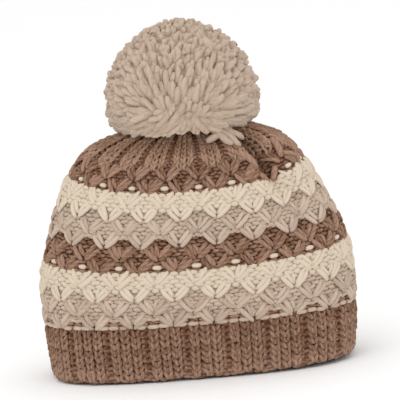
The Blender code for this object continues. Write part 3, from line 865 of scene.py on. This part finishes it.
def addBand(pile, lower, upper, fullness):
    # Ground courses between the colour changes, then two rows of V stitches half a repeat apart
    look = groundLook
    low = runAt[lower]
    high = runAt[upper]
    bottom = low + notchRise[lower]
    top = high + notchRise[upper]
    first = bottom + look["gaps"][0]
    last = top - look["gaps"][1]
    count = max(look["leastRows"], int(round((last - first) / look["spacing"])))
    rows = first + (np.arange(count) + 0.5) * (last - first) / count
    thicker, further, higher = (share * fullness for share in look["fullShares"])
    knitCourses(pile, rows, plainStitches,
                dict(look, lift=look["lift"] + fullness, radius=look["radius"] + thicker))
    wallRows, outer, inner = look["wall"]
    pile.wall(bottom, top, wallRows, outer + further, inner)
    size, rise, added = tallBands.get(lower, evenBand)
    left = pulledLook["leftOut"] if lower == pulledLook["band"] else ()
    addTulips(pile, low, 0.0, size, higher, left, tulipLook)
    addTulips(pile, low + rise * (high - low), 0.5, size, higher + added, left, tulipLook)


def makeBand(name, node, lower, upper, material, loops=(), fullness=0.0):
    pile = YarnPile(groundLook["seed"] + len(name))
    addBand(pile, lower, upper, fullness)
    fill = groundLook["tipFill"] if notchRise[lower] > groundLook["tipFillFrom"] else ()
    for above, *loop in fill:
        addLoops(pile, runAt[lower] + above, *loop)
    if lower == pulledLook["band"]:
        addPulled(pile, pulledLook)
    for above, *loop in loops:
        addLoops(pile, runAt[lower] + above, *loop)
    pile.build(name, material, [node])


# lying loops that show between the V tips: height above the tips, places, length, radius, lift, arch
rimLoops = ((0.0006, (0.22, 0.5, 0.78), 0.0078, 0.00185, -0.0004, 0.0),
            (0.0054, (0.36, 0.64), 0.0078, 0.00155, -0.0008, 0.0008))
arcLoops = ((0.0060, (0.36, 0.64), 0.0072, 0.00150, -0.0012, 0.0010),)
brownArcs = ((0.0012, (0.30, 0.5, 0.70), 0.0070, 0.00140, -0.0010, -0.0006),)
paleDot = (0.0040, (0.5,), 0.0062, 0.00185, -0.0008, 0.0)
creamFullness = 0.0015           # the pale grounds stand higher and closer than the brown ones
beigeFullness = 0.0005


def paleDots(lower, upper):
    # One cream loop between each two tips of the brown V stitches above
    above, *loop = paleDot
    return ((runAt[upper] - runAt[lower] + above, *loop),)


print("knitting the colour bands")
makeBand("beige_stitches_low", "beige_band_low", "brimTop", "beigeLowTop", beigeYarn,
         rimLoops, beigeFullness)
makeBand("cream_stitches_low", "cream_band_low", "beigeLowTop", "creamLowTop", creamYarn,
         paleDots("beigeLowTop", "creamLowTop"), creamFullness)
makeBand("brown_stitches", "brown_band", "creamLowTop", "brownTop", brownPatternYarn,
         brownArcs)
makeBand("beige_stitches_high", "beige_band_high", "brownTop", "beigeHighTop", beigeYarn,
         arcLoops, beigeFullness)
makeBand("cream_stitches_high", "cream_band_high", "beigeHighTop", "creamHighTop", creamYarn,
         paleDots("beigeHighTop", "creamHighTop"), creamFullness)
makeBand("brown_stitches_high", "brown_band_high", "creamHighTop", "crownStitchTop", brownPatternYarn,
         brownArcs)

# Crown

crownStitches = {                # three knit stitches, then a purl one sunk before the next three
    "edges": (-0.36, -0.12, 0.12, 0.36, 0.64),
    "faces": (1, 1, 1, -1),
}
crownLook = {
    "seed": 3,
    "firstRow": 0.0088,          # above the upper edge of the V stitches' band
    "rows": 13,
    "rowSpacing": 0.0038,
    "sunk": (0.0006, 0.0003),    # how much lower the first rows lie, under the V stitches' arms
    "bend": (0.0032, 0.0028, 0.0022, 0.0014, 0.0006),    # how far the first rows dip
    "radius": 0.00140,
    "swing": 0.250,
    "lean": 0.05,
    "reach": 0.0031,
    "sink": 0.0007,
    "roundness": 0.0009,
    "lift": -0.0011,
    "knitLift": 0.0014,
    "purlLift": -0.0016,
    "uneven": 0.09,
    "samples": 12,
    "sides": 6,
    "purlHeads": ((0.5,), 0.0056, 0.00130, -0.0026, -0.0006),
    "headRows": 7,               # rows that have these loops between their purl stitches
    "wall": (12, -0.0018, -0.0042),
}


def makeCrown():
    look = crownLook
    pile = YarnPile(look["seed"])
    low = runAt["crownStitchTop"]
    rows = low + look["firstRow"] + np.arange(look["rows"]) * look["rowSpacing"]
    lifts = np.full(len(rows), look["lift"])
    lifts[:len(look["sunk"])] -= look["sunk"]
    bend = np.zeros(len(rows))
    bend[:len(look["bend"])] = look["bend"]
    knitCourses(pile, rows, crownStitches, dict(look, lift=lifts[:, None], bend=bend[:, None]))
    for row in (rows + bend)[:look["headRows"]]:
        addLoops(pile, row, *look["purlHeads"])
    pile.wall(low + notchRise["crownStitchTop"], wholeRun, *look["wall"])
    pile.build("gathered_ribs", brownCrownLitYarn, ["gathered_crown"])


print("gathering the crown")
makeCrown()

# Pompom

pompomLook = {
    "seed": 7,
    "centre": (-0.0006, 0.0, 0.2050),
    "halfWidth": 0.0562,
    "upperSquareness": 1.85,
    "above": 0.0555,
    "below": 0.0240,
    "lowerSquareness": 3.2,
    "lowerPower": 2.2,           # how soon the underside turns level
    "strands": 1750,
    "radius": 0.0025,
    "directionSpread": 0.045,
    # the strands part along a line between these two directions
    "partingLeft": (-0.24, -0.94, -0.21),
    "partingRight": (0.16, -0.92, -0.33),
    "lay": 0.019,                # how far strands near the parting lie over
    "partingReach": 0.95,        # radians over which that fades
    "partingWidth": 0.25,        # radians over which the lay grows from the least share below
    "partingLeast": 0.2,
    "sideways": 0.40,            # below the parting, the share of the downward lay that is kept
    # share of the lay, and of the ball's size, at a strand's end, middle and root
    "lays": (0.55, -0.9, -0.8),
    "shares": (1.0, 0.94, 0.45),
    "shortest": 0.032,           # strands are up to this share shorter than the ball
    "sweep": 0.26,               # how far round the low front strands bend, in radians
    "sweepFrom": 0.15,           # how far down they start to, as a share of the ball
    "sweepGrowth": 0.35,         # and over what share that grows
    "sweepParting": 0.3,         # radians from the front over which the two sides part
    "sweepMiddle": -0.3,         # share of the sweep at a strand's middle
    "endSpread": 0.0009,
    "middleSpread": 0.0024,
    "wiggle": 0.0011,
    "waves": 1.6,                # of the wiggle along a strand
    "slimAbove": 0.14,           # strands at the top are thinner by this share
    "widthSpread": 0.10,
    "profileTurn": (0.013, 0.021, 0.017),    # keeps a strand's upward direction off its own
    "coreShare": 0.93,
    "coreLift": -0.0035,
    "coreRings": 19,
    "coreSpokes": 36,
    "tone": 0.5,
    "toneSpread": 0.22,
    "paintedTopLight": 0.42,               # painted light and shade: how much lighter the top is than the underside, as light falls from above
    # loose strands on the crown: start, middle, end
    "loose": (
        ((0.018, -0.030, 0.1830), (0.030, -0.042, 0.1780), (0.0400, -0.0385, 0.1672)),
        ((0.030, -0.030, 0.1800), (0.025, -0.042, 0.1750), (0.0150, -0.0380, 0.1735)),
        ((0.022, -0.030, 0.1830), (0.033, -0.041, 0.1790), (0.0425, -0.0355, 0.1718)),
        ((0.016, -0.030, 0.1820), (0.026, -0.044, 0.1760), (0.0335, -0.0400, 0.1690)),
    ),
    "stops": (0.0, 0.30, 0.50, 0.66, 0.80, 0.91, 0.975, 1.0),
    "widths": (0.60, 0.86, 1.0, 1.04, 1.04, 0.94, 0.66, 0.26),
    "sides": 6,
}


def pompomPoint(direction, share):
    # A ball above its widest level, and a squarer and lower one below it
    look = pompomLook
    power = look["lowerSquareness"]
    out = unit(direction[..., :2])
    down = np.clip(-direction[..., 2], 0.0, 1.0)
    risen = np.clip(direction[..., 2], 0.0, 1.0)
    upper = (1 - risen ** look["upperSquareness"]) ** (1 / look["upperSquareness"])
    wide = np.where(down > 0, (1 - down**power) ** (1 / power), upper) * look["halfWidth"] * share
    sunk = -look["below"] * (1 - (1 - down) ** look["lowerPower"])
    z = np.where(down > 0, sunk, look["above"] * direction[..., 2]) * share
    return np.stack([wide * out[..., 0], wide * out[..., 1], z], axis=-1) + np.array(look["centre"])


def turned(points, angle):
    # Points turned about the pompom's upright axis
    x, y, z = (points - np.array(pompomLook["centre"])).T
    x, y = x * np.cos(angle) - y * np.sin(angle), x * np.sin(angle) + y * np.cos(angle)
    return np.stack([x, y, z], axis=-1) + np.array(pompomLook["centre"])


def strandDirections(pile, look):
    # Spread evenly over the ball by the golden angle, then scattered a little
    count = look["strands"]
    k = np.arange(count) + 0.5
    z = 1 - 2 * k / count
    turn = k * math.pi * (3 - math.sqrt(5))
    flat = np.sqrt(1 - z**2)
    direction = np.stack([flat * np.cos(turn), flat * np.sin(turn), z], axis=-1)
    return unit(direction + look["directionSpread"] * pile.rng.standard_normal((count, 3)))


def partingLay(direction, look):
    # How far each strand lies over, away from the nearest place of the parting's line: a bell of
    # the angle between them, cut down close to the line
    left = np.array(look["partingLeft"])
    line = np.array(look["partingRight"]) - left
    along = np.clip((direction - left) @ line / (line @ line), 0.0, 1.0)[:, None]
    parting = unit(left + line * along)
    angle = np.arccos(np.clip(np.sum(direction * parting, axis=-1), -1, 1))
    away = unit(direction * np.cos(angle)[:, None] - parting)
    kept = np.array([1.0, 1.0, look["sideways"]])
    away = unit(away * np.where(away[:, 2:] < 0, kept, 1.0))
    lay = look["lay"] * np.exp(-(angle / look["partingReach"]) ** 2)
    lay = lay * np.clip(angle / look["partingWidth"], look["partingLeast"], 1.0)
    return away * lay[:, None]


def sweepAngle(direction, look):
    # Grows down the ball's lower half, changes sides at the front, and fades towards the back
    azimuth = np.arctan2(direction[:, 0], -direction[:, 1])
    lower = np.clip((-direction[:, 2] - look["sweepFrom"]) / look["sweepGrowth"], 0.0, 1.0)
    sides = np.tanh(azimuth / look["sweepParting"]) * np.cos(azimuth / 2) ** 2
    return look["sweep"] * lower * sides


def addStrands(pile, look):
    # Each strand is a Bezier curve from the binding at the core, past a point pulled towards the
    # parting, to its end pushed away from it
    direction = strandDirections(pile, look)
    count = len(direction)
    lay = partingLay(direction, look)
    sweep = sweepAngle(direction, look)
    length = 1 - look["shortest"] * pile.rng.random(count)
    endShare, middleShare, rootShare = look["shares"]
    endLay, middleLay, rootLay = look["lays"]
    end = turned(pompomPoint(direction, length * endShare) + lay * endLay, sweep)
    middle = turned(pompomPoint(direction, length * middleShare) + lay * middleLay,
                    look["sweepMiddle"] * sweep)
    root = pompomPoint(direction, rootShare) + lay * rootLay
    end = end + look["endSpread"] * pile.rng.standard_normal((count, 3))
    middle = middle + look["middleSpread"] * pile.rng.standard_normal((count, 3))
    loose = np.array(look["loose"])
    centre = np.array(look["centre"])
    root = np.concatenate([root, loose[:, 0]])
    middle = np.concatenate([middle, loose[:, 1]])
    end = np.concatenate([end, loose[:, 2]])
    direction = np.concatenate([direction, unit(loose[:, 2] - centre)])
    count = len(root)
    s = np.array(look["stops"])[None, :, None]
    path = bezier(root[:, None], middle[:, None], end[:, None], s)
    up = np.broadcast_to(direction[:, None] + np.array(look["profileTurn"]), path.shape)
    wave = np.sin(2 * math.pi * (look["waves"] * s + pile.rng.random((count, 1, 1))))
    path = path + look["wiggle"] * wave * s * unit(pile.rng.standard_normal((count, 1, 3)))
    slim = 1 - look["slimAbove"] * np.clip(direction[:, 2:], 0.0, 1.0)
    radius = look["radius"] * slim * np.array(look["widths"])
    radius = radius * (1 + look["widthSpread"] * pile.rng.standard_normal((count, 1)))
    reach = np.linalg.norm(path - centre, axis=-1)
    surface = np.linalg.norm(pompomPoint(unit(path - centre), 1.0) - centre, axis=-1)
    depth = np.minimum(reach - surface, 0.0)
    # Painted shade: strands lower on the ball get a darker tone and upper ones a lighter one, as light
    # falls from above; the spread is random tone
    tone = look["tone"] + look["paintedTopLight"] * direction[:, 2]
    tone = np.clip(tone + look["toneSpread"] * pile.rng.standard_normal(count), 0.0, 1.0)
    pile.tubes(path, up, radius, look["sides"], lift=depth, tone=tone)


def addCore(pile, look):
    # A ball of rings that closes the gaps between the strands. Its lift gives it part of the
    # pompom's painted depth shading, which is lighter than the yarn: painted light in the gaps.
    rings = np.linspace(-math.pi / 2, math.pi / 2, look["coreRings"] + 2)[1:-1, None]
    spokes = np.arange(look["coreSpokes"])[None, :] / look["coreSpokes"] * 2 * math.pi
    flat = np.cos(rings)
    ball = np.stack([flat * np.cos(spokes), flat * np.sin(spokes), np.sin(rings) + 0 * spokes],
                    axis=-1)
    poles = pompomPoint(np.array([[0, 0, -1.0], [0, 0, 1.0]]), look["coreShare"])
    pile.ball(pompomPoint(ball, look["coreShare"]), poles, look["coreLift"])


def makePompom():
    pile = YarnPile(pompomLook["seed"])
    addStrands(pile, pompomLook)
    addCore(pile, pompomLook)
    pile.build("pompom_strands", pompomYarn, ["pompom"])


print("winding the pompom")
makePompom()

# Tie: the yarn that holds the pompom, knotted inside the hat

tieLook = {
    "radius": 0.0013,
    "knotAbove": 0.0030,         # its middle above the tie's lower end
    "knotWidth": 0.00191,        # how far each leaf goes in and out
    "knotHeight": 0.0022,
    "knotOpening": 2.0,          # how many times that the curve's middle radius is
    "knotSteps": 72,
    "cordRadius": 0.0011,
    "cordOff": 0.0010,           # from each strand's middle to the cord's
    "cordBelow": 0.0010,         # its end under the tie's upper end
    "turns": 3,
    "cordSteps": 24,
    "sides": 8,
    "lift": -0.002,
    "tones": (0.4, 0.6),
}


def makeTie():
    # Knot: a closed three-leafed curve, (opening + cos 3a) round the axis at angle 2a. Cord: two
    # strands wound round each other up through the crown's hole.
    look = tieLook
    pile = YarnPile(0)
    low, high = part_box("pompom_tie")
    knotMiddle = low[2] + look["knotAbove"]
    a = np.linspace(0.0, 2 * math.pi, look["knotSteps"], endpoint=False)
    wide = look["knotWidth"] * (look["knotOpening"] + np.cos(3 * a))
    height = knotMiddle + look["knotHeight"] * np.sin(3 * a)
    path = np.stack([wide * np.cos(2 * a), wide * np.sin(2 * a), height], axis=-1)[None]
    up = np.broadcast_to(np.array([0.0, 0.0, 1.0]), path.shape)
    knotTone, cordTone = look["tones"]
    pile.tubes(path, up, look["radius"], look["sides"], lift=look["lift"], tone=knotTone, closed=True)
    s = np.linspace(0.0, 1.0, look["cordSteps"])
    angle = np.array([[0.0], [math.pi]]) + 2 * math.pi * look["turns"] * s
    height = knotMiddle + (high[2] - look["cordBelow"] - knotMiddle) * s + 0 * angle
    cords = np.stack([look["cordOff"] * np.cos(angle), look["cordOff"] * np.sin(angle), height],
                     axis=-1)
    up = np.broadcast_to(np.array([1.0, 0.2, 0.0]), cords.shape)
    pile.tubes(cords, up, look["cordRadius"], look["sides"], lift=look["lift"], tone=cordTone)
    pile.build("tie_cord", brownYarn, ["pompom_tie"])


print("tying it on")
makeTie()

# Floor, light and camera

setting = {
    "scale": 0.000746,           # metres in one pixel of the photo at the hat
    "photoWidth": 400,
    "elevation": 8.0,
    "roll": -4.8,
    "aim": (0.0066, 0.0, 0.1242),
    "lens": 240.0,
    "clipEnd": 50.0,
    "floor": (0.96, 0.96, 0.96, 1.0),
    "floorHalf": 6.0,
    "floorRoughness": 0.9,
    "floorSpecular": 0.1,
    "world": (1.0, 1.0, 1.0, 1.0),
    "worldStrength": 1.03,
    # place, point that it is aimed at, size and power
    "key": ((-0.6, -1.1, 1.9), (0.0, 0.0, 0.12), 1.2, 7.0),
    "fill": ((0.5, -1.7, 0.42), (0.0, 0.0, 0.14), 1.2, 3.0),
}


def makeFloor():
    mesh = bpy.data.meshes.new("floor")
    half = setting["floorHalf"]
    corners = [(-half, -half, 0), (half, -half, 0), (half, half, 0), (-half, half, 0)]
    mesh.from_pydata(corners, [], [(0, 1, 2, 3)])
    floor = bpy.data.objects.new("floor", mesh)
    bpy.context.collection.objects.link(floor)
    material = bpy.data.materials.new("pale floor")
    material.use_nodes = True
    shader = material.node_tree.nodes["Principled BSDF"]
    shader.inputs["Base Color"].default_value = setting["floor"]
    shader.inputs["Roughness"].default_value = setting["floorRoughness"]
    shader.inputs["Specular IOR Level"].default_value = setting["floorSpecular"]
    mesh.materials.append(material)


def areaLight(name):
    place, target, size, power = setting[name]
    data = bpy.data.lights.new(name, "AREA")
    data.energy = power
    data.size = size
    light = bpy.data.objects.new(name, data)
    bpy.context.collection.objects.link(light)
    light.location = place
    light.rotation_euler = (Vector(target) - Vector(place)).to_track_quat("-Z", "Y").to_euler()


def makeWorld():
    world = bpy.data.worlds.new("studio")
    world.use_nodes = True
    background = world.node_tree.nodes["Background"]
    background.inputs["Color"].default_value = setting["world"]
    background.inputs["Strength"].default_value = setting["worldStrength"]
    bpy.context.scene.world = world
    bpy.context.scene.view_settings.view_transform = "Standard"


def makeCamera():
    data = bpy.data.cameras.new("camera")
    data.lens = setting["lens"]
    data.clip_end = setting["clipEnd"]
    width = setting["scale"] * setting["photoWidth"]
    distance = width * setting["lens"] / data.sensor_width
    elevation = math.radians(setting["elevation"])
    aim = Vector(setting["aim"])
    place = aim + distance * Vector((0.0, -math.cos(elevation), math.sin(elevation)))
    look = (aim - place).to_track_quat("-Z", "Y").to_matrix().to_4x4()
    roll = Matrix.Rotation(math.radians(setting["roll"]), 4, "Z")
    camera = bpy.data.objects.new("camera", data)
    bpy.context.collection.objects.link(camera)
    camera.matrix_world = Matrix.Translation(place) @ look @ roll
    bpy.context.scene.camera = camera


print("setting the floor, light and camera")
makeFloor()
areaLight("key")
areaLight("fill")
makeWorld()
makeCamera()
